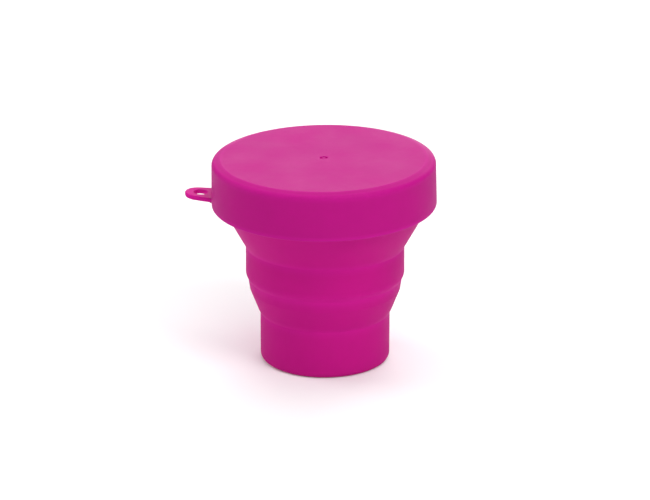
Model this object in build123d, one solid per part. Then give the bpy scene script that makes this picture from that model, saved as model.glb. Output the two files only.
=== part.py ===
from build123d import *
import math
import os

# Collapsible travel cup with a press-on lid, both moulded in soft silicone rubber.
#
# The cup is one moulding. Three stiff upright bands (base, middle and rim) are joined by two thin
# conical webs. Pushing the rim down turns each web inside out, so the bands nest in one another.
# The lid is a second moulding: a deep cap whose skirt covers the rim band, with a hanging loop.
# Each zone that moves by itself is a solid of its own, and neighbouring zones meet face to face.
#
# Millimetres, +Z up. The origin is on the table surface, on the cup's axis. The loop points to -X.

# ---- Driving dimensions: outside of the cup, from the bottom up ----
BASE_RADIUS = 23.2
BASE_TOP = 17.7
BASE_EDGE_ROUND = 2.0
SHOULDER_RADIUS = 26.9
SHOULDER_HEIGHT = 26.6
SHOULDER_ROUND = 1.2
NOTCH_RADIUS = 27.5
NOTCH_HEIGHT = 30.6
MIDDLE_RADIUS = 28.3
MIDDLE_LEDGE_RADIUS = 28.2
MIDDLE_LEDGE_HEIGHT = 32.6
MIDDLE_LEDGE_ROUND = 2.5
MIDDLE_FULL_HEIGHT = 34.6
MIDDLE_TOP = 42.9
RIM_RADIUS = 37.4
RIM_BOTTOM = 59.3
RIM_TOP = 73.0

# ---- Walls ----
BAND_WALL = 2.2
FOLD_WALL = 1.45
FLOOR_TOP = 3.2
FLOOR_ROUND = 3.0
FOOT_RECESS_RADIUS = 18.5
FOOT_RECESS_DEPTH = 0.8
SMALL_ROUND = 0.4

# ---- Drinking edge: a bead that the lid grips ----
BEAD_PROUD = 0.3
BEAD_HEIGHT = 3.2
BEAD_ROUND = 0.9

# ---- Lid ----
LID_EDGE_RADIUS = 40.0
LID_TOP_RADIUS = 39.7
LID_BOTTOM = 58.3
LID_TOP = 75.4
LID_TOP_ROUND = 2.6
LID_EDGE_ROUND = 0.7
SKIRT_CLEARANCE = 0.3
SEAL_CLEARANCE = 0.3
SEAL_WIDTH = 1.6
SEAL_DEPTH = 3.5
CEILING_ROUND = 0.6
DIMPLE_RADIUS = 1.45
DIMPLE_DEPTH = 0.5
GATE_RADIUS = 0.55
GATE_HEIGHT = 0.3

# ---- Hanging loop, flush with the lid's lower edge. Reaches are measured out from the skirt ----
LOOP_THICKNESS = 1.6
LOOP_END_REACH = 4.85
LOOP_END_RADIUS = 5.2
LOOP_EYE_REACH = 4.45
LOOP_EYE_RADIUS = 2.5
LOOP_EDGE_ROUND = 0.45
LOOP_ROOT_WIDTH = 12.2
LOOP_BEND_REACH = 1.0
ROOT_EMBEDDED = 0.8


def turned(outline):
    """Solid of revolution about Z. The closed outline is a list of (radius, height, corner rounding)."""
    face = make_face(Plane.XZ * Polyline([(r, z) for r, z, _ in outline], close=True))
    for r, z, rounding in outline:
        if rounding:
            corner = face.vertices().sort_by_distance((r, 0, z))[0]
            face = fillet(corner, rounding)
    return revolve(face, Axis.Z)


def base_cup():
    """Floor and lower band. A shallow recess underneath leaves a ring to stand on."""
    inner = BASE_RADIUS - BAND_WALL
    return turned([
        (0, FOOT_RECESS_DEPTH, 0),
        (FOOT_RECESS_RADIUS - FOOT_RECESS_DEPTH, FOOT_RECESS_DEPTH, SMALL_ROUND),
        (FOOT_RECESS_RADIUS, 0, SMALL_ROUND),
        (BASE_RADIUS, 0, BASE_EDGE_ROUND),
        (BASE_RADIUS, BASE_TOP, 0),
        (inner, BASE_TOP, SMALL_ROUND),
        (inner, FLOOR_TOP, FLOOR_ROUND),
        (0, FLOOR_TOP, 0),
    ])


def lower_fold_web():
    """Thin cone with a soft shoulder, from the base band out to the notch under the middle band."""
    return turned([
        (BASE_RADIUS, BASE_TOP, 0),
        (SHOULDER_RADIUS, SHOULDER_HEIGHT, SHOULDER_ROUND),
        (NOTCH_RADIUS, NOTCH_HEIGHT, 0),
        (NOTCH_RADIUS - FOLD_WALL, NOTCH_HEIGHT, 0),
        (SHOULDER_RADIUS - FOLD_WALL, SHOULDER_HEIGHT, SHOULDER_ROUND),
        (BASE_RADIUS - FOLD_WALL, BASE_TOP, 0),
    ])


def middle_band():
    """Stiff upright band. Its lower edge tapers in to the notch where the lower web folds."""
    inner = MIDDLE_RADIUS - BAND_WALL
    return turned([
        (NOTCH_RADIUS, NOTCH_HEIGHT, 0),
        (MIDDLE_LEDGE_RADIUS, MIDDLE_LEDGE_HEIGHT, MIDDLE_LEDGE_ROUND),
        (MIDDLE_RADIUS, MIDDLE_FULL_HEIGHT, 0),
        (MIDDLE_RADIUS, MIDDLE_TOP, 0),
        (inner, MIDDLE_TOP, SMALL_ROUND),
        (inner, NOTCH_HEIGHT, SMALL_ROUND),
    ])


def upper_fold_web():
    """Thin cone from the middle band out to the rim band."""
    return turned([
        (MIDDLE_RADIUS, MIDDLE_TOP, 0),
        (RIM_RADIUS, RIM_BOTTOM, 0),
        (RIM_RADIUS - FOLD_WALL, RIM_BOTTOM, 0),
        (MIDDLE_RADIUS - FOLD_WALL, MIDDLE_TOP, 0),
    ])


def rim_band():
    """Stiff upper band with the rounded drinking edge and a low bead that the lid grips."""
    inner = RIM_RADIUS - BAND_WALL
    bead = RIM_RADIUS + BEAD_PROUD
    return turned([
        (RIM_RADIUS, RIM_BOTTOM, 0),
        (RIM_RADIUS, RIM_TOP - BEAD_HEIGHT, 0),
        (bead, RIM_TOP - BEAD_HEIGHT + BEAD_PROUD, 0),
        (bead, RIM_TOP, BEAD_ROUND),
        (inner, RIM_TOP, BEAD_ROUND),
        (inner, RIM_BOTTOM, SMALL_ROUND),
    ])


def lid_cap():
    """Deep cap: domed edge, skirt over the rim band, and a seal rib that goes down inside the rim."""
    skirt = RIM_RADIUS + BEAD_PROUD + SKIRT_CLEARANCE
    seal = RIM_RADIUS - BAND_WALL - SEAL_CLEARANCE
    dimple_floor = LID_TOP - DIMPLE_DEPTH
    return turned([
        (0, RIM_TOP, 0),
        (seal - SEAL_WIDTH, RIM_TOP, CEILING_ROUND),
        (seal - SEAL_WIDTH, RIM_TOP - SEAL_DEPTH, SMALL_ROUND),
        (seal, RIM_TOP - SEAL_DEPTH, SMALL_ROUND),
        (seal, RIM_TOP, 0),
        (skirt, RIM_TOP, CEILING_ROUND),
        (skirt, LID_BOTTOM, SMALL_ROUND),
        (LID_EDGE_RADIUS, LID_BOTTOM, LID_EDGE_ROUND),
        (LID_TOP_RADIUS, LID_TOP, LID_TOP_ROUND),
        (DIMPLE_RADIUS, LID_TOP, SMALL_ROUND / 2),
        (DIMPLE_RADIUS, dimple_floor, SMALL_ROUND / 2),
        (GATE_RADIUS, dimple_floor, 0),
        (GATE_RADIUS, dimple_floor + GATE_HEIGHT, SMALL_ROUND / 4),
        (0, dimple_floor + GATE_HEIGHT, 0),
    ])


def loop_tab():
    """The whole loop as one rounded tab, from inside the skirt's wall out to its round end."""
    end = -(LID_EDGE_RADIUS + LOOP_END_REACH)
    eye = -(LID_EDGE_RADIUS + LOOP_EYE_REACH)
    root = -(LID_EDGE_RADIUS - ROOT_EMBEDDED)
    half_root = LOOP_ROOT_WIDTH / 2
    flare = math.atan2(half_root - LOOP_END_RADIUS, root - end)
    touch_x = end - LOOP_END_RADIUS * math.sin(flare)
    touch_y = LOOP_END_RADIUS * math.cos(flare)
    neck = make_face(Polyline(
        (root, -half_root),
        (touch_x, -touch_y),
        (touch_x, touch_y),
        (root, half_root),
        close=True,
    ))
    outline = neck + Pos(end, 0) * Circle(LOOP_END_RADIUS) - Pos(eye, 0) * Circle(LOOP_EYE_RADIUS)
    tab = Pos(0, 0, LID_BOTTOM) * extrude(outline, LOOP_THICKNESS)
    level_edges = tab.edges().filter_by(Axis.Z, reverse=True)
    rims = level_edges.sort_by(Axis.X)[:-2]  # the last two lie inside the skirt's wall
    return fillet(rims, LOOP_EDGE_ROUND)


def split_loop():
    """The tab's root, which stays with the lid, and the loop beyond the line where it bends."""
    bend_line = Plane(origin=(-(LID_EDGE_RADIUS + LOOP_BEND_REACH), 0, 0), z_dir=(1, 0, 0))
    tab = loop_tab()
    root = split(tab, bisect_by=bend_line, keep=Keep.TOP)
    loop = split(tab, bisect_by=bend_line, keep=Keep.BOTTOM)
    return root, loop


def main():
    os.makedirs("parts", exist_ok=True)
    tab_root, hang_loop = split_loop()
    parts = {
        "base_cup": base_cup(),
        "lower_fold_web": lower_fold_web(),
        "middle_band": middle_band(),
        "upper_fold_web": upper_fold_web(),
        "rim_band": rim_band(),
        "lid_cap": lid_cap() + tab_root,
        "hang_loop": hang_loop,
    }
    for name, solid in parts.items():
        export_step(solid, f"parts/{name}.step")


main()
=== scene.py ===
"""A collapsible silicone travel cup with its press-on lid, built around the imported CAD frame.

Sizes and outlines are in millimetres. An outline is a list of (radius, height, rounding of that
corner). Meshes are in metres, in the frame's own coordinates: +Z up, the origin on the table
under the cup's axis, and the hanging loop towards -X.
"""

import math

import bpy
from mathutils import Matrix, Vector


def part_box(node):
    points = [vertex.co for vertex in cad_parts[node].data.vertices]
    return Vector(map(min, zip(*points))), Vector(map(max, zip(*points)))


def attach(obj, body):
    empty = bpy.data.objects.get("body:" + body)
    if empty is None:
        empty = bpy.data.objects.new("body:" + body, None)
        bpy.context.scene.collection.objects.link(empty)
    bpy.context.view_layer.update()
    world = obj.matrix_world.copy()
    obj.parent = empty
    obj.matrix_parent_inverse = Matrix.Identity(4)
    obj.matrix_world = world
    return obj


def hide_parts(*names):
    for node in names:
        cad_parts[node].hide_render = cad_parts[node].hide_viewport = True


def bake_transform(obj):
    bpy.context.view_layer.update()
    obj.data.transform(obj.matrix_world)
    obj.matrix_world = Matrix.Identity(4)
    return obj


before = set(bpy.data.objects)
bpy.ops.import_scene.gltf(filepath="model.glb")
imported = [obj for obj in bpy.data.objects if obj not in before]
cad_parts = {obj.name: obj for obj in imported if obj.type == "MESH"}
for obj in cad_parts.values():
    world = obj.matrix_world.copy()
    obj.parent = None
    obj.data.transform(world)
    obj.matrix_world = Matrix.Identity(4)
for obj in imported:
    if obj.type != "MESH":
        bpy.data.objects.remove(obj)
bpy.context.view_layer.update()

MM = 0.001


def reach(node):
    """Outer radius, lowest height and highest height of a CAD node, in millimetres."""
    low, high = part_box(node)
    return high.y / MM, low.z / MM, high.z / MM


# ---- Sizes read from the frame ----
BASE_RADIUS, TABLE, BASE_TOP = reach("base_cup")
NOTCH_RADIUS, _, NOTCH_HEIGHT = reach("lower_fold_web")
MIDDLE_RADIUS, _, MIDDLE_TOP = reach("middle_band")
RIM_RADIUS, _, RIM_BOTTOM = reach("upper_fold_web")
BEAD_RADIUS, _, RIM_TOP = reach("rim_band")
LID_RADIUS, LID_BOTTOM, LID_TOP = reach("lid_cap")
LOOP_LOW, LOOP_HIGH = (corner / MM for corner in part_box("hang_loop"))

# ---- Walls, as the CAD part has them ----
BAND_WALL = 2.2
FOLD_WALL = 1.45
FLOOR_TOP = 3.2
FLOOR_ROUND = 3.0

# ---- Foot ----
BASE_EDGE_ROUND = 2.0
FOOT_RECESS_RADIUS = 18.5
FOOT_RECESS_DEPTH = 0.8
FOOT_ROUND = 0.4
PIP_RADIUS = 0.8  # the mark of the cup's moulding gate, in the middle of the recess
PIP_HEIGHT = 0.25
PIP_FLARE = 0.2
PIP_ROUND = 0.1

# ---- Lower fold and middle band ----
KNEE_RADIUS = 24.05  # the lower cone starts in a soft curve about this point
KNEE_HEIGHT = 19.3
KNEE_ROUND = 3.0
SHOULDER_RADIUS = 26.9
SHOULDER_HEIGHT = 26.6
SHOULDER_ROUND = 2.2
BASE_FOLD_ROUND = 0.5
NOTCH_LIP = 0.07  # just under the notch, the cup is narrower by this much
NOTCH_ROUND = 0.3
LEDGE_RISE = 1.7  # the middle band is full this far above the notch
LEDGE_PROUD = 0.02
LEDGE_ROUND = 3.0

# ---- Upper fold and rim ----
FOLD_ROUND = 0.9
RIM_INSIDE_ROUND = 1.5
BEAD_HEIGHT = 3.2
BEAD_ROUND = 0.3
DRINKING_EDGE_ROUND = 0.95

# ---- Inside corner where a band's wall thins into the web above it ----
THINNING_ABOVE = 0.3
THINNING_BELOW = 0.2
THIN_ROUND = 0.5
THICK_ROUND = 0.25
LOWER_LEAN = 0.12  # how far each web's wall has moved outwards at the upper of the two corners
UPPER_LEAN = 0.17

# ---- Lid ----
LID_TAPER = 0.3
LID_EDGE_ROUND = 1.7
CROWN_RUN = 3.1  # the top slopes down this far in from its edge, before the edge's rounding
CROWN_DROP = 1.0
CROWN_ROUND = 0.5
LIP_ROUND = 0.7
SKIRT_CLEARANCE = 0.3
SKIRT_INSIDE_ROUND = 0.4
CEILING_ROUND = 0.6
SEAL_CLEARANCE = 0.3
SEAL_WIDTH = 1.6
SEAL_DEPTH = 3.5
SEAL_ROUND = 0.5
SEAL_ROOT_ROUND = 0.3
DRAFT = 0.1  # how much the dimple and the stub in it narrow
DIMPLE_RADIUS = 1.45
DIMPLE_DEPTH = 0.55
DIMPLE_ROUND = 0.25
DIMPLE_FLOOR_ROUND = 0.2
GATE_RADIUS = 0.7  # the stub of the moulding gate, in the middle of the dimple
GATE_HEIGHT = 0.4
GATE_ROUND = 0.12
GATE_FOOT_ROUND = 0.1

# ---- How the lid's outer skin sits askew, and how uneven its top is ----
LID_OFFSET = -0.38  # along x: the skin stands off the cup's axis, towards the loop
LID_SETTLED = -0.25  # along z: it is pressed down
LID_LEAN = 0.0092  # slope along x: the loop's side is lower
LID_NOD = 0.011  # slope along y: the far side is higher
TOP_SAG = 0.12
TOP_RIPPLE = 0.05
FLAT_RADIUS = LID_RADIUS - 3
SAG_ABOVE = 0.01  # the ceiling inside the lid, at the rim's height, stays flat

# ---- Hanging loop, moulded flush with the skirt's lower edge ----
LOOP_END_RADIUS = 5.2
LOOP_EYE_RADIUS = 2.4
LOOP_EYE_INSET = 0.4  # the eye's centre lies this much nearer to the lid than the round end's
LOOP_SPLAY = 0.144  # how fast each side widens towards the skirt
LOOP_FILLET = 0.5  # where each side meets the skirt
LOOP_EDGE_ROUND = 0.45
LOOP_EYE_ROUND = 0.35
LOOP_RISE = 0.055  # slope of the free loop, which has set a little upwards
LOOP_RISE_START = 1.0  # the slope comes in softly over about this length
ROOT_EMBEDDED = 0.8

# ---- How far the rings of the cup and the lid are from true ----
WANDER = [  # size, lobes round the ring, phase, height over which the phase shifts by a radian
    (0.045, 2, 0.7, 37),
    (0.03, 3, 2.1, -23),
    (0.018, 5, 4.0, 15),
]
WANDER_FULL = 20  # radius from which a ring wanders fully
AXIS_REACH = 1e-6  # a point nearer to the axis than this lies on it

# ---- Paler tone: fold lines, bent and with a painted highlight, and the lid's lip, a painted highlight ----
CREASE_AND_HIGHLIGHT_LINES = [  # radius, height, spread, strength
    (BASE_RADIUS, BASE_TOP, 1.1, 0.7),
    (NOTCH_RADIUS, NOTCH_HEIGHT, 1.3, 0.9),
    (MIDDLE_RADIUS, MIDDLE_TOP, 1.1, 0.9),
    # the lid's lip: a painted highlight only
    (LID_RADIUS, LID_BOTTOM + 0.4, 0.4, 1.3),
]

# ---- Mesh fineness ----
AROUND = 288
RUN_STEP = 1.1
FOLD_STEP = 0.45
ARC_STEP = math.radians(9)
SHARP_EDGE = math.radians(50)
SEAM = 0.5  # a web's piece reaches this far into the bands above and below it
LOOP_SIDE_STEPS = 34
LOOP_TIP_STEPS = 44
LOOP_ROOT_STEPS = 16
LOOP_FLAT_STEPS = 9
LOOP_EDGE_STEPS = 5

# ---- How pale the outside corners are, from 0 to 1: rubbed, and a painted highlight ----
LID_RUBBED_AND_HIGHLIT = 1.0
RIM_RUBBED_AND_HIGHLIT = 1.0
MIDDLE_RUBBED_AND_HIGHLIT = 0.3

# ---- Silicone ----
CUP_COLOUR = (0.526, 0.0078, 0.221)
LID_COLOUR = (0.474, 0.0069, 0.212)
# the loop's paler colour is painted light: it stands in for light that shows through the thin loop
LOOP_COLOUR = (0.59, 0.0084, 0.262)  # paler, because the loop is thin and light shows through it
CUP_GLOSS = 0.047
LID_GLOSS = 0.064
CUP_SEED = 1.0
LID_SEED = 7.0
SILICONE_IOR = 1.41
ROUGHNESS = (0.5, 0.6)

# Tones, as shares of the silicone's red, green and blue.
DEEP = (0.93, 0.9, 0.95)
DULL = (0.94, 1.15, 0.93)
# pale: rubbed outside corners, with a painted highlight along them
PALE_WORN_AND_HIGHLIT = (1.07, 1.12, 1.12)
# strained: bent fold lines, with a painted highlight along them and on the lid's lip
STRAINED_AND_HIGHLIT = (1.06, 1.15, 1.15)

# Noises, as scale in waves per metre, detail, roughness, and an offset that sets each apart.
CLOUDS = (45, 3, 0.55, 1.0)
MOTTLE = (330, 3, 0.6, 6.0)
# the noise below breaks up the pale tone of the outside corners, which is partly a painted
# highlight
RUBBING_AND_HIGHLIGHT = (900, 3, 0.6, 2.0)
SMUDGES = (70, 4, 0.6, 3.0)
GRAIN = (4200, 2, 0.5, 4.0)
SWELL = (120, 2, 0.5, 5.0)

# Bumps, as strength and distance in metres.
GRAIN_BUMP = (0.25, 0.00002)
SWELL_BUMP = (0.3, 0.0002)

# ---- Stage, in metres and watts ----
FLOOR_HALF = 4.0
FLOOR_TONE = 0.92
FLOOR_ROUGHNESS = 0.9
FLOOR_GLOW = 0.08
WORLD_STRENGTH = 0.2
LIGHTS_AIM = (0, 0, 0.04)
SOFTBOXES = [  # name, place, side, power
    ("overhead", (0.05, 0.15, 1.1), 1.0, 5.9),
    ("behind", (0, 1.3, 0.5), 1.2, 11.36),
    ("left", (-1.15, 0.2, 0.6), 0.7, 5.4),
    ("front_high", (0.15, -0.95, 1.1), 0.6, 3.77),
    ("right_high", (0.75, -0.65, 1.1), 0.6, 8.59),
]

# ---- Camera: a long lens, a little above the cup and a little to the right of its front ----
CAMERA_AZIMUTH = math.radians(8.06)
CAMERA_ELEVATION = math.radians(20.14)
CAMERA_DISTANCE = 1.0745
CAMERA_AIM = Vector((0, 0, 0.0403))
CAMERA_SENSOR = 36
CAMERA_LENS = 166.6
CAMERA_FAR = 50


# ---------------------------------------------------------------- outlines

def rounded(outline, step, closed):
    """The outline with its corners turned into arcs and its straight runs divided.

    The points are (radius, height, pale share). The share is 1 on the arc of an outside corner,
    where handling rubs the rubber and where a painted highlight lies, and 0 elsewhere.
    """
    points = [Vector((r, z)) for r, z, _ in outline]
    count = len(points)
    corners = []
    for i, (_, _, radius) in enumerate(outline):
        here = points[i]
        if not radius:
            corners.append([(here, 0.0)])
            continue
        back = (points[i - 1] - here).normalized()
        ahead = (points[(i + 1) % count] - here).normalized()
        half = back.angle(ahead) / 2
        cut = radius / math.tan(half)
        centre = here + (back + ahead).normalized() * radius / math.sin(half)
        first = here + back * cut - centre
        turn = math.pi - 2 * half
        if first.cross(here + ahead * cut - centre) < 0:
            turn = -turn
        pieces = max(2, math.ceil(abs(turn) / ARC_STEP))
        # an outside corner takes the pale tone: rubbed, and a painted highlight
        worn_and_highlit = 1.0 if turn > 0 else 0.0
        arc = []
        for k in range(pieces + 1):
            angle = turn * k / pieces
            spoke = Matrix.Rotation(angle, 2) @ first
            arc.append((centre + spoke, worn_and_highlit))
        corners.append(arc)
    out = []
    runs = count if closed else count - 1
    for i in range(runs):
        out.extend(corners[i])
        start = corners[i][-1][0]
        end = corners[(i + 1) % count][0][0]
        parts = max(1, math.ceil((end - start).length / step))
        for k in range(1, parts):
            out.append((start.lerp(end, k / parts), 0.0))
    if not closed:
        out.extend(corners[-1])
    return [(p.x, p.y, wear_and_highlight) for p, wear_and_highlight in out]


def wall_thins(radius, height, lean):
    """Two inside corners: a web's wall comes down to the thicker wall of the band under it.

    Radius and height are those of the fold line outside.
    """
    return [
        (radius - FOLD_WALL + lean, height + THINNING_ABOVE, THIN_ROUND),
        (radius - BAND_WALL, height - THINNING_BELOW, THICK_ROUND),
    ]


def softened(point):
    """Soft rubber is never quite round: each ring wanders by under a tenth of a millimetre."""
    angle = math.atan2(point.y, point.x)
    radius = math.hypot(point.x, point.y)
    height = point.z
    share = min(radius / WANDER_FULL, 1.0)
    wander = sum(
        size * math.sin(lobes * angle + phase + height / pitch)
        for size, lobes, phase, pitch in WANDER
    )
    grow = 1 + share * wander / max(radius, 1.0)
    return Vector((point.x * grow, point.y * grow, height))


def crease_and_highlight_at(radius, height):
    """How much of the paler tone, bending strain and a painted highlight, a point of a turned piece
    has.
    """
    return max(
        strength * math.exp(-0.5 * (math.dist((radius, height), (r, z)) / spread) ** 2)
        for r, z, spread, strength in CREASE_AND_HIGHLIGHT_LINES
    )


# ---------------------------------------------------------------- meshes

def new_mesh(name, vertices, faces, wear_and_highlight, crease_and_highlight, material, body=None):
    """A smooth-shaded piece. Its vertices are given in millimetres."""
    mesh = bpy.data.meshes.new(name)
    mesh.from_pydata([Vector(v) * MM for v in vertices], [], faces)
    rest = mesh.attributes.new("rest", "FLOAT_VECTOR", "POINT")
    rest.data.foreach_set("vector", [x * MM for v in vertices for x in v])
    worn_and_highlit = mesh.attributes.new("wear_and_highlight", "FLOAT", "POINT")
    worn_and_highlit.data.foreach_set("value", wear_and_highlight)
    bent_and_highlit = mesh.attributes.new("crease_and_highlight", "FLOAT", "POINT")
    bent_and_highlit.data.foreach_set("value", crease_and_highlight)
    mesh.validate()
    mesh.update()
    piece = bpy.data.objects.new(name, mesh)
    bpy.context.scene.collection.objects.link(piece)
    mesh.materials.append(material)
    mesh.shade_smooth()
    mesh.set_sharp_from_angle(angle=SHARP_EDGE)
    if body:
        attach(piece, body)
    return piece


def turned(name, outline, material, step=RUN_STEP, shape=softened, rubbed_and_highlit=0.0, body=None):
    """A solid of revolution. An outline that starts and ends on the axis is left open there.

    Rubbed is how pale its outside corners are, from 0 to 1: worn, and a painted highlight.
    """
    closed = outline[0][0] > 0
    ring = rounded(outline, step, closed)
    vertices, wear_and_highlight, crease_and_highlight, rows = [], [], [], []
    for r, z, worn_and_highlit in ring:
        around = AROUND if r > AXIS_REACH else 1
        rows.append([len(vertices) + k % around for k in range(AROUND)])
        for k in range(around):
            angle = 2 * math.pi * k / AROUND
            vertices.append(shape(Vector((r * math.cos(angle), r * math.sin(angle), z))))
        wear_and_highlight.extend([worn_and_highlit * rubbed_and_highlit] * around)
        crease_and_highlight.extend([crease_and_highlight_at(r, z)] * around)
    faces = []
    pairs = len(rows) if closed else len(rows) - 1
    for i in range(pairs):
        low, high = rows[i], rows[(i + 1) % len(rows)]
        for k in range(AROUND):
            after = (k + 1) % AROUND
            corners = [low[k], low[after], high[after], high[k]]
            faces.append(tuple(dict.fromkeys(corners)))
    return new_mesh(name, vertices, faces, wear_and_highlight, crease_and_highlight, material, body)


# ---------------------------------------------------------------- materials

def silicone(name, colour, gloss, seed):
    """Matte moulded silicone: fine grain, faint clouds and smudges, and paler rubbed edges with a
    painted highlight.
    """
    material = bpy.data.materials.new(name)
    material.use_nodes = True
    nodes = material.node_tree.nodes
    links = material.node_tree.links
    shader = nodes["Principled BSDF"]
    shader.inputs["IOR"].default_value = SILICONE_IOR
    shader.inputs["Specular IOR Level"].default_value = gloss

    def node(kind, **values):
        made = nodes.new(kind)
        for key, value in values.items():
            setattr(made, key, value)
        return made

    def noise(scale, detail, roughness, offset):
        """Noise on the rest position, so that it stays put while a web folds."""
        shift = node("ShaderNodeVectorMath", operation="ADD")
        shift.inputs[1].default_value = (offset, seed, offset / 2)
        links.new(rest.outputs["Vector"], shift.inputs[0])
        made = node("ShaderNodeTexNoise")
        made.inputs["Scale"].default_value = scale
        made.inputs["Detail"].default_value = detail
        made.inputs["Roughness"].default_value = roughness
        links.new(shift.outputs["Vector"], made.inputs["Vector"])
        return made.outputs["Fac"]

    def remap(value, low, high, to_low, to_high):
        made = node("ShaderNodeMapRange")
        made.inputs["From Min"].default_value = low
        made.inputs["From Max"].default_value = high
        made.inputs["To Min"].default_value = to_low
        made.inputs["To Max"].default_value = to_high
        links.new(value, made.inputs["Value"])
        return made.outputs["Result"]

    def tone(shares):
        return (*(part * share for part, share in zip(colour, shares)), 1)

    def tinted(base, amount, colour_to):
        made = node("ShaderNodeMix", data_type="RGBA")
        links.new(amount, made.inputs["Factor"])
        if isinstance(base, tuple):
            made.inputs["A"].default_value = base
        else:
            links.new(base, made.inputs["A"])
        made.inputs["B"].default_value = colour_to
        return made.outputs["Result"]

    def bump(field, strength, distance):
        made = node("ShaderNodeBump")
        made.inputs["Strength"].default_value = strength
        made.inputs["Distance"].default_value = distance
        links.new(noise(*field), made.inputs["Height"])
        return made

    rest = node("ShaderNodeAttribute", attribute_name="rest")
    wear_and_highlight = node("ShaderNodeAttribute", attribute_name="wear_and_highlight")
    crease_and_highlight = node("ShaderNodeAttribute", attribute_name="crease_and_highlight")

    # outside corners: rubbed, and a painted highlight, broken up by noise
    rubbed_and_highlit = node("ShaderNodeMath", operation="MULTIPLY")
    links.new(wear_and_highlight.outputs["Fac"], rubbed_and_highlit.inputs[0])
    links.new(remap(noise(*RUBBING_AND_HIGHLIGHT), 0.3, 0.7, 0.4, 0.9), rubbed_and_highlit.inputs[1])
    toned = tinted((*colour, 1), remap(noise(*CLOUDS), 0.35, 0.65, 0, 0.6), tone(DEEP))
    toned = tinted(toned, remap(noise(*MOTTLE), 0.35, 0.65, 0, 0.45), tone(DULL))
    toned = tinted(toned, rubbed_and_highlit.outputs["Value"], tone(PALE_WORN_AND_HIGHLIT))
    # fold lines and the lid's lip: strain whitening, and a painted highlight
    toned = tinted(toned, crease_and_highlight.outputs["Fac"], tone(STRAINED_AND_HIGHLIT))
    links.new(toned, shader.inputs["Base Color"])

    links.new(remap(noise(*SMUDGES), 0.3, 0.7, *ROUGHNESS), shader.inputs["Roughness"])

    swell = bump(SWELL, *SWELL_BUMP)
    grain = bump(GRAIN, *GRAIN_BUMP)
    links.new(swell.outputs["Normal"], grain.inputs["Normal"])
    links.new(grain.outputs["Normal"], shader.inputs["Normal"])
    return material


# ---------------------------------------------------------------- the cup

def cup_base(material):
    """Base band, with the floor, the foot ring and the recess inside the ring."""
    inner = BASE_RADIUS - BAND_WALL
    top = BASE_TOP - SEAM
    piece = turned("cup_base", [
        (0, FOOT_RECESS_DEPTH - PIP_HEIGHT, 0),
        (PIP_RADIUS, FOOT_RECESS_DEPTH - PIP_HEIGHT, PIP_ROUND),
        (PIP_RADIUS + PIP_FLARE, FOOT_RECESS_DEPTH, PIP_ROUND),
        (FOOT_RECESS_RADIUS - FOOT_RECESS_DEPTH, FOOT_RECESS_DEPTH, FOOT_ROUND),
        (FOOT_RECESS_RADIUS, TABLE, FOOT_ROUND),
        (BASE_RADIUS, TABLE, BASE_EDGE_ROUND),
        (BASE_RADIUS, top, 0),
        (inner, top, 0),
        (inner, FLOOR_TOP, FLOOR_ROUND),
        (0, FLOOR_TOP, 0),
    ], material, body="base")
    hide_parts("base_cup")
    return piece


def cup_lower_fold(material):
    """Cone and soft shoulder between the base band and the notch.

    It is thinner than the bands, so that it folds.
    """
    low = BASE_TOP - SEAM
    high = NOTCH_HEIGHT - SEAM
    piece = turned("cup_lower_fold", [
        (BASE_RADIUS, low, 0),
        (BASE_RADIUS, BASE_TOP, BASE_FOLD_ROUND),
        (KNEE_RADIUS, KNEE_HEIGHT, KNEE_ROUND),
        (SHOULDER_RADIUS, SHOULDER_HEIGHT, SHOULDER_ROUND),
        (NOTCH_RADIUS - NOTCH_LIP, high, 0),
        (MIDDLE_RADIUS - BAND_WALL, high, 0),
        (SHOULDER_RADIUS - FOLD_WALL, SHOULDER_HEIGHT, SHOULDER_ROUND),
        *wall_thins(BASE_RADIUS, BASE_TOP, LOWER_LEAN),
        (BASE_RADIUS - BAND_WALL, low, 0),
    ], material, step=FOLD_STEP)
    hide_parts("lower_fold_web")
    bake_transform(piece)
    return piece


def cup_middle_band(material):
    """Stiff upright band. Its lower edge tapers in to the notch."""
    low = NOTCH_HEIGHT - SEAM
    high = MIDDLE_TOP - SEAM
    inner = MIDDLE_RADIUS - BAND_WALL
    piece = turned("cup_middle_band", [
        (NOTCH_RADIUS - NOTCH_LIP, low, 0),
        (NOTCH_RADIUS, NOTCH_HEIGHT, NOTCH_ROUND),
        (MIDDLE_RADIUS + LEDGE_PROUD, NOTCH_HEIGHT + LEDGE_RISE, LEDGE_ROUND),
        (MIDDLE_RADIUS, high, 0),
        (inner, high, 0),
        (inner, low, 0),
    ], material, rubbed_and_highlit=MIDDLE_RUBBED_AND_HIGHLIT, body="middle")
    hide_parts("middle_band")
    return piece


def cup_upper_fold(material):
    """Cone between the middle band and the rim band."""
    low = MIDDLE_TOP - SEAM
    high = RIM_BOTTOM + SEAM
    slope = (RIM_RADIUS - MIDDLE_RADIUS) / (RIM_BOTTOM - MIDDLE_TOP)
    rim_inner = RIM_RADIUS - BAND_WALL
    meets_rim = MIDDLE_TOP + (rim_inner - MIDDLE_RADIUS + FOLD_WALL) / slope
    piece = turned("cup_upper_fold", [
        (MIDDLE_RADIUS, low, 0),
        (MIDDLE_RADIUS, MIDDLE_TOP, FOLD_ROUND),
        (RIM_RADIUS, RIM_BOTTOM, FOLD_ROUND),
        (RIM_RADIUS, high, 0),
        (rim_inner, high, 0),
        (rim_inner, meets_rim, RIM_INSIDE_ROUND),
        *wall_thins(MIDDLE_RADIUS, MIDDLE_TOP, UPPER_LEAN),
        (MIDDLE_RADIUS - BAND_WALL, low, 0),
    ], material, step=FOLD_STEP)
    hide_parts("upper_fold_web")
    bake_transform(piece)
    return piece


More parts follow.
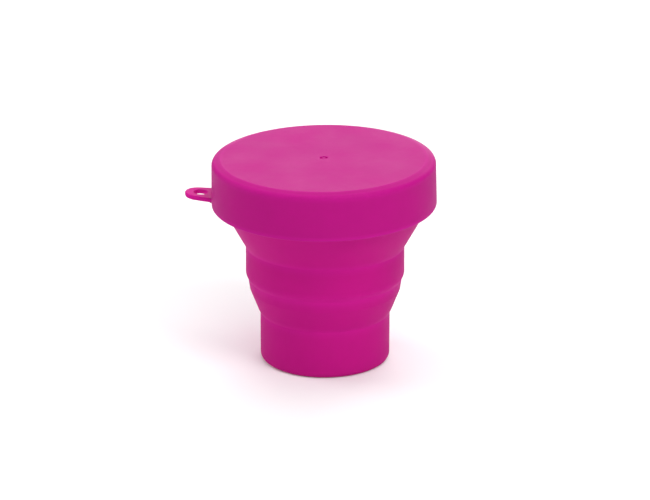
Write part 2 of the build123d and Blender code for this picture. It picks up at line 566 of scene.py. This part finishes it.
def cup_rim(material):
    """Rim band, with the bead that the lid grips and the drinking edge."""
    low = RIM_BOTTOM + SEAM
    inner = RIM_RADIUS - BAND_WALL
    step_out = BEAD_RADIUS - RIM_RADIUS
    piece = turned("cup_rim", [
        (RIM_RADIUS, low, 0),
        (RIM_RADIUS, RIM_TOP - BEAD_HEIGHT, BEAD_ROUND),
        (BEAD_RADIUS, RIM_TOP - BEAD_HEIGHT + step_out, BEAD_ROUND),
        (BEAD_RADIUS, RIM_TOP, DRINKING_EDGE_ROUND),
        (inner, RIM_TOP, DRINKING_EDGE_ROUND),
        (inner, low, 0),
    ], material, rubbed_and_highlit=RIM_RUBBED_AND_HIGHLIT, body="rim")
    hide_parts("rim_band")
    return piece


# ---------------------------------------------------------------- the lid

def smooth(value, low, high):
    """0 below low, 1 above high, and a smooth step between them."""
    share = min(max((value - low) / (high - low), 0), 1)
    return share * share * (3 - 2 * share)


def lid_shape(point):
    """The lid's soft wander.

    Its outer skin sits a little askew on the rim, while its inside stays in line with the rim.
    Its flat top sags unevenly.
    """
    moved = softened(point)
    radius = math.hypot(point.x, point.y)
    on_skirt = smooth(radius, BEAD_RADIUS + 0.35, LID_RADIUS - LIP_ROUND)
    on_top = smooth(point.z, RIM_TOP + 0.2, RIM_TOP + 1.2)
    skin = max(on_skirt, on_top)
    middle = (LID_BOTTOM + LID_TOP) / 2
    moved.x += skin * (LID_OFFSET - LID_LEAN * (point.z - middle))
    moved.z += skin * (LID_SETTLED + LID_LEAN * point.x + LID_NOD * point.y)
    inside = max(0.0, 1 - (radius / FLAT_RADIUS) ** 2)
    wave = math.sin(point.x / 8.5 + 0.4) * math.cos(point.y / 10.5 + 1.1)
    wave += 0.7 * math.sin((point.x + point.y) / 6.3)
    if point.z > RIM_TOP + SAG_ABOVE:
        moved.z += inside * (TOP_RIPPLE * wave - TOP_SAG)
    return moved


def lid(material):
    """Deep press-on cap, with a seal rib inside and a dimple in the middle of its top."""
    skirt = BEAD_RADIUS + SKIRT_CLEARANCE
    seal = RIM_RADIUS - BAND_WALL - SEAL_CLEARANCE
    dimple_floor = LID_TOP - DIMPLE_DEPTH
    piece = turned("lid", [
        (0, RIM_TOP, 0),
        (seal - SEAL_WIDTH, RIM_TOP, CEILING_ROUND),
        (seal - SEAL_WIDTH, RIM_TOP - SEAL_DEPTH, SEAL_ROUND),
        (seal, RIM_TOP - SEAL_DEPTH, SEAL_ROUND),
        (seal, RIM_TOP, SEAL_ROOT_ROUND),
        (skirt, RIM_TOP, CEILING_ROUND),
        (skirt, LID_BOTTOM, SKIRT_INSIDE_ROUND),
        (LID_RADIUS, LID_BOTTOM, LIP_ROUND),
        (LID_RADIUS - LID_TAPER, LID_TOP - CROWN_DROP, LID_EDGE_ROUND),
        (LID_RADIUS - LID_TAPER - CROWN_RUN, LID_TOP, CROWN_ROUND),
        (DIMPLE_RADIUS, LID_TOP, DIMPLE_ROUND),
        (DIMPLE_RADIUS - DRAFT, dimple_floor, DIMPLE_FLOOR_ROUND),
        (GATE_RADIUS + DRAFT, dimple_floor, GATE_FOOT_ROUND),
        (GATE_RADIUS, dimple_floor + GATE_HEIGHT, GATE_ROUND),
        (0, dimple_floor + GATE_HEIGHT, 0),
    ], material, shape=lid_shape, rubbed_and_highlit=LID_RUBBED_AND_HIGHLIT, body="lid")
    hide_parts("lid_cap")
    return piece


def loop_outline(end, root):
    """The loop seen from above, as (x, y) points.

    They run along one side, round the free end, back along the other side, and across the root,
    which is hidden in the skirt. End is the x of the round end's centre, and root that of the root.
    """
    touch = math.pi / 2 + math.atan(LOOP_SPLAY)
    side_end = end + LOOP_END_RADIUS * math.cos(touch)
    side, tip, hidden = [], [], []
    for k in range(LOOP_SIDE_STEPS):
        x = root + (side_end - root) * k / LOOP_SIDE_STEPS
        half = LOOP_END_RADIUS * math.sin(touch) + LOOP_SPLAY * (x - side_end)
        skirt = -math.sqrt(LID_RADIUS ** 2 - half ** 2)
        into = min(max(x - skirt + LOOP_FILLET, 0), LOOP_FILLET)
        half += LOOP_FILLET - math.sqrt(LOOP_FILLET ** 2 - into ** 2)
        side.append(Vector((x, half)))
    for k in range(LOOP_TIP_STEPS + 1):
        angle = touch + 2 * (math.pi - touch) * k / LOOP_TIP_STEPS
        x = end + LOOP_END_RADIUS * math.cos(angle)
        tip.append(Vector((x, LOOP_END_RADIUS * math.sin(angle))))
    for k in range(1, LOOP_ROOT_STEPS):
        hidden.append(Vector((root, side[0].y * (2 * k / LOOP_ROOT_STEPS - 1))))
    return side + tip + [Vector((p.x, -p.y)) for p in reversed(side)] + hidden


def quarter(flat, wall, level, rise):
    """A rounded edge of the loop's section, as (place, height) pairs.

    It runs from the section's upright wall to its flat, which is at a level. Rise is the height
    of the rounding, and it is negative on the underside.
    """
    out = []
    for k in range(LOOP_EDGE_STEPS + 1):
        angle = math.pi / 2 * k / LOOP_EDGE_STEPS
        out.append((flat.lerp(wall, math.cos(angle)), level - rise * (1 - math.sin(angle))))
    return out


def loop_section(hole, hole_flat, rim_flat, rim):
    """One section of the loop, from the eye out over the top, and back along the underside."""
    top, under = LOOP_HIGH.z, LOOP_LOW.z
    flat = [hole_flat.lerp(rim_flat, k / LOOP_FLAT_STEPS) for k in range(1, LOOP_FLAT_STEPS)]
    section = quarter(hole_flat, hole, top, LOOP_EYE_ROUND)
    section += [(place, top) for place in flat]
    section += reversed(quarter(rim_flat, rim, top, LOOP_EDGE_ROUND))
    section += quarter(rim_flat, rim, under, -LOOP_EDGE_ROUND)
    section += [(place, under) for place in reversed(flat)]
    section += reversed(quarter(hole_flat, hole, under, -LOOP_EYE_ROUND))
    return section


def hanging_loop(material):
    """The soft loop that the cup hangs by.

    Its mesh is a ring of sections round the eye, each reaching from the eye to the outline.
    """
    end = LOOP_LOW.x + LOOP_END_RADIUS
    eye = Vector((end + LOOP_EYE_INSET, 0))
    outline = loop_outline(end, ROOT_EMBEDDED - LID_RADIUS)
    vertices, wear_and_highlight = [], []
    for i, rim in enumerate(outline):
        ahead = outline[(i + 1) % len(outline)] - outline[i - 1]
        inward = Vector((-ahead.y, ahead.x)).normalized()
        spoke = (rim - eye).normalized()
        hole = eye + spoke * LOOP_EYE_RADIUS
        hole_flat = hole + spoke * LOOP_EYE_ROUND
        rim_flat = rim + inward * LOOP_EDGE_ROUND
        section = loop_section(hole, hole_flat, rim_flat, rim)
        for place, height in section:
            free = max(-place.x - LID_RADIUS, 0)
            rise = LOOP_RISE * free ** 2 / (free + LOOP_RISE_START)
            vertices.append(Vector((place.x + LID_OFFSET, place.y, height + rise)))
            # the loop's rounded edges take the pale tone: rubbed, and a painted highlight
            wear_and_highlight.append(0.0 if height in (LOOP_HIGH.z, LOOP_LOW.z) else 1.0)
    ring = len(section)
    faces = []
    for i in range(len(outline)):
        here = ring * i
        after = ring * ((i + 1) % len(outline))
        for k in range(ring):
            up = (k + 1) % ring
            faces.append((here + k, here + up, after + up, after + k))
    piece = new_mesh("hanging_loop", vertices, faces, wear_and_highlight, [0.0] * len(vertices), material)
    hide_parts("hang_loop")
    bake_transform(piece)
    return piece


# ---------------------------------------------------------------- stage

def floor():
    """A pale floor that glows very faintly, so that it stays close to white."""
    mesh = bpy.data.meshes.new("floor")
    near, far = -FLOOR_HALF, FLOOR_HALF
    corners = [(near, near, 0), (far, near, 0), (far, far, 0), (near, far, 0)]
    mesh.from_pydata(corners, [], [(0, 1, 2, 3)])
    plane = bpy.data.objects.new("floor", mesh)
    bpy.context.scene.collection.objects.link(plane)
    material = bpy.data.materials.new("pale_floor")
    material.use_nodes = True
    shader = material.node_tree.nodes["Principled BSDF"]
    shader.inputs["Base Color"].default_value = (FLOOR_TONE, FLOOR_TONE, FLOOR_TONE, 1)
    shader.inputs["Roughness"].default_value = FLOOR_ROUGHNESS
    shader.inputs["Emission Color"].default_value = (1, 1, 1, 1)
    shader.inputs["Emission Strength"].default_value = FLOOR_GLOW
    shader.inputs["Specular IOR Level"].default_value = 0.0
    mesh.materials.append(material)


def softbox(name, place, side, power):
    """A square light that faces the cup."""
    light = bpy.data.lights.new(name, "AREA")
    light.shape = "SQUARE"
    light.size = side
    light.energy = power
    lamp = bpy.data.objects.new(name, light)
    lamp.location = place
    towards = Vector(LIGHTS_AIM) - Vector(place)
    lamp.rotation_euler = towards.to_track_quat("-Z", "Y").to_euler()
    bpy.context.scene.collection.objects.link(lamp)


def studio():
    """A dim white surround and five softboxes."""
    world = bpy.data.worlds.new("studio")
    world.use_nodes = True
    background = world.node_tree.nodes["Background"]
    background.inputs["Color"].default_value = (1, 1, 1, 1)
    background.inputs["Strength"].default_value = WORLD_STRENGTH
    bpy.context.scene.world = world
    for name, place, side, power in SOFTBOXES:
        softbox(name, place, side, power)
    bpy.context.scene.view_settings.view_transform = "Standard"


def camera():
    back = Vector((
        math.sin(CAMERA_AZIMUTH) * math.cos(CAMERA_ELEVATION),
        -math.cos(CAMERA_AZIMUTH) * math.cos(CAMERA_ELEVATION),
        math.sin(CAMERA_ELEVATION),
    ))
    data = bpy.data.cameras.new("camera")
    data.sensor_width = CAMERA_SENSOR
    data.lens = CAMERA_LENS
    data.clip_end = CAMERA_FAR
    view = bpy.data.objects.new("camera", data)
    view.location = CAMERA_AIM + back * CAMERA_DISTANCE
    view.rotation_euler = (-back).to_track_quat("-Z", "Y").to_euler()
    bpy.context.scene.collection.objects.link(view)
    bpy.context.scene.camera = view


# ---------------------------------------------------------------- the whole object

cup_rubber = silicone("cup_silicone_look", CUP_COLOUR, CUP_GLOSS, CUP_SEED)
lid_rubber = silicone("lid_silicone_look", LID_COLOUR, LID_GLOSS, LID_SEED)
loop_rubber = silicone("loop_silicone_look", LOOP_COLOUR, LID_GLOSS, LID_SEED)

cup_pieces = [
    cup_base(cup_rubber),
    cup_lower_fold(cup_rubber),
    cup_middle_band(cup_rubber),
    cup_upper_fold(cup_rubber),
    cup_rim(cup_rubber),
]
lid_pieces = [lid(lid_rubber), hanging_loop(loop_rubber)]

floor()
studio()
camera()
